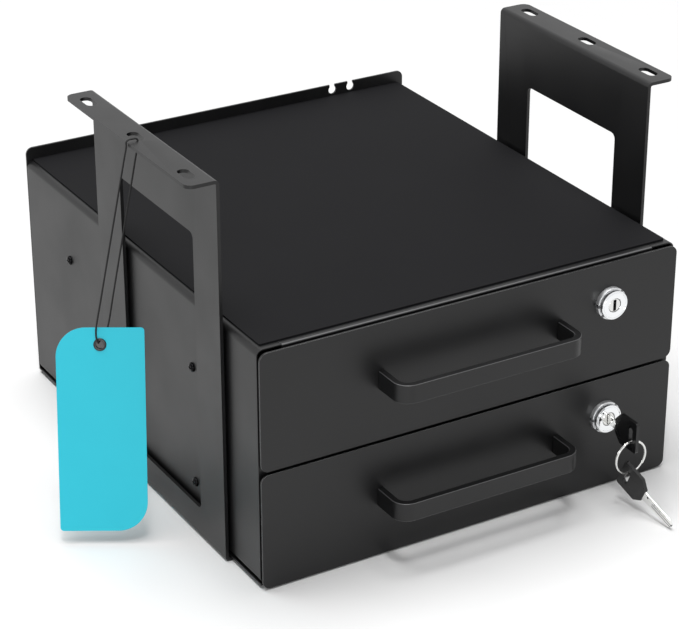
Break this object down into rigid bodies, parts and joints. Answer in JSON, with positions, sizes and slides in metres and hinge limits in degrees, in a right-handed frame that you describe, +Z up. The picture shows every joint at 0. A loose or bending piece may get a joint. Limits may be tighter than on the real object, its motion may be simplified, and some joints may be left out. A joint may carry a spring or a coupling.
{
  "type": "under desk drawer safe",
  "caption": "Steel cabinet with two locking drawers on ball slides, hung from side brackets with slotted flanges, with a key and spare on a ring.",
  "frame": {"origin": "middle of the safe's footprint, on the surface its bracket feet stand on, hang tag left out", "axes": "+X to the right seen from the front, +Y from the drawer fronts to the rear panel, +Z up"},
  "size_m": [0.4585, 0.4538, 0.292],
  "materials": {
    "black_paint": "satin black powder coat with a fine grain",
    "front_paint": "satin charcoal powder coat",
    "top_mat": "thin matt black mat glued on the top",
    "zinc_steel": "bright zinc plate",
    "yellow_zinc": "yellow zinc plate with steel balls",
    "chrome": "polished chrome",
    "brass": "turned brass",
    "nickel_steel": "nickel plate",
    "black_plastic": "moulded black plastic",
    "black_screw": "black oxide",
    "tag_card": "turquoise printed card, left blank",
    "tag_black": "black eyelet and waxed string"
  },
  "bodies": {
    "cabinet": {"bottom_plate": "black_paint", "cabinet_shell": "black_paint", "divider_rail": "black_paint", "hang_tag": "tag_card", "left_bracket": "black_paint", "left_foot_screw_front": "black_screw", "left_foot_screw_rear": "black_screw", "lower_left_outer_rail": "zinc_steel", "lower_left_slide_screw_front": "black_screw", "lower_left_slide_screw_rear": "black_screw", "lower_right_outer_rail": "zinc_steel", "lower_right_slide_screw_front": "black_screw", "lower_right_slide_screw_rear": "black_screw", "rear_panel": "black_paint", "right_bracket": "black_paint", "right_foot_screw_front": "black_screw", "right_foot_screw_rear": "black_screw", "tag_eyelet": "tag_black", "tag_string": "tag_black", "top_mat": "top_mat", "upper_left_outer_rail": "zinc_steel", "upper_left_slide_screw_front": "black_screw", "upper_left_slide_screw_rear": "black_screw", "upper_right_outer_rail": "zinc_steel", "upper_right_slide_screw_front": "black_screw", "upper_right_slide_screw_rear": "black_screw"},
    "lower_drawer": {"lower_drawer_box": "black_paint", "lower_drawer_front": "front_paint", "lower_handle": "front_paint", "lower_handle_screw_left": "zinc_steel", "lower_handle_screw_right": "zinc_steel", "lower_left_inner_rail": "zinc_steel", "lower_lock_body": "chrome", "lower_lock_nut": "zinc_steel", "lower_lock_trim_ring": "chrome", "lower_right_inner_rail": "zinc_steel"},
    "upper_drawer": {"upper_drawer_box": "black_paint", "upper_drawer_front": "front_paint", "upper_handle": "front_paint", "upper_handle_screw_left": "zinc_steel", "upper_handle_screw_right": "zinc_steel", "upper_left_inner_rail": "zinc_steel", "upper_lock_body": "chrome", "upper_lock_nut": "zinc_steel", "upper_lock_trim_ring": "chrome", "upper_right_inner_rail": "zinc_steel"},
    "lower_lock": {"lower_lock_cam": "zinc_steel", "lower_lock_plug": "brass"},
    "upper_lock": {"upper_lock_cam": "zinc_steel", "upper_lock_plug": "brass"},
    "lower_left_cage": {"lower_left_ball_cage": "yellow_zinc"},
    "lower_right_cage": {"lower_right_ball_cage": "yellow_zinc"},
    "upper_left_cage": {"upper_left_ball_cage": "yellow_zinc"},
    "upper_right_cage": {"upper_right_ball_cage": "yellow_zinc"},
    "key": {"key_blade": "nickel_steel", "key_head": "black_plastic"},
    "ring": {"key_ring": "nickel_steel"},
    "spare_key": {"spare_key_blade": "nickel_steel", "spare_key_head": "black_plastic"}
  },
  "joints": [
    {"name": "lower_drawer_slide", "type": "slide", "parent": "cabinet", "child": "lower_drawer", "axis": [0, -1, 0], "range_m": [0, 0.24]},
    {"name": "lower_left_cage_roll", "type": "slide", "parent": "cabinet", "child": "lower_left_cage", "axis": [0, -1, 0], "range_m": [0, 0.12]},
    {"name": "lower_right_cage_roll", "type": "slide", "parent": "cabinet", "child": "lower_right_cage", "axis": [0, -1, 0], "range_m": [0, 0.12]},
    {"name": "lower_lock_turn", "type": "hinge", "parent": "lower_drawer", "child": "lower_lock", "pos_m": [0.1123, -0.14162, 0.0593], "axis": [0, -1, 0], "range_deg": [0, 90]},
    {"name": "upper_drawer_slide", "type": "slide", "parent": "cabinet", "child": "upper_drawer", "axis": [0, -1, 0], "range_m": [0, 0.24]},
    {"name": "upper_left_cage_roll", "type": "slide", "parent": "cabinet", "child": "upper_left_cage", "axis": [0, -1, 0], "range_m": [0, 0.12]},
    {"name": "upper_right_cage_roll", "type": "slide", "parent": "cabinet", "child": "upper_right_cage", "axis": [0, -1, 0], "range_m": [0, 0.12]},
    {"name": "upper_lock_turn", "type": "hinge", "parent": "upper_drawer", "child": "upper_lock", "pos_m": [0.1123, -0.14162, 0.15095], "axis": [0, -1, 0], "range_deg": [0, 90]},
    {"name": "key_pull", "type": "slide", "parent": "lower_lock", "child": "key", "axis": [0, -1, 0], "range_m": [0, 0.03]},
    {"name": "ring_swing", "type": "hinge", "parent": "key", "child": "ring", "pos_m": [0.1123, -0.18482, 0.0541], "axis": [-1, 0, 0], "range_deg": [0, 60]},
    {"name": "spare_key_swing", "type": "hinge", "parent": "ring", "child": "spare_key", "pos_m": [0.1123, -0.18482, 0.0287], "axis": [-1, 0, 0], "range_deg": [0, 40]}
  ],
  "couplings": [
    {"joint": "lower_left_cage_roll", "follows": "lower_drawer_slide", "ratio": 0.5},
    {"joint": "lower_right_cage_roll", "follows": "lower_drawer_slide", "ratio": 0.5},
    {"joint": "upper_left_cage_roll", "follows": "upper_drawer_slide", "ratio": 0.5},
    {"joint": "upper_right_cage_roll", "follows": "upper_drawer_slide", "ratio": 0.5}
  ]
}
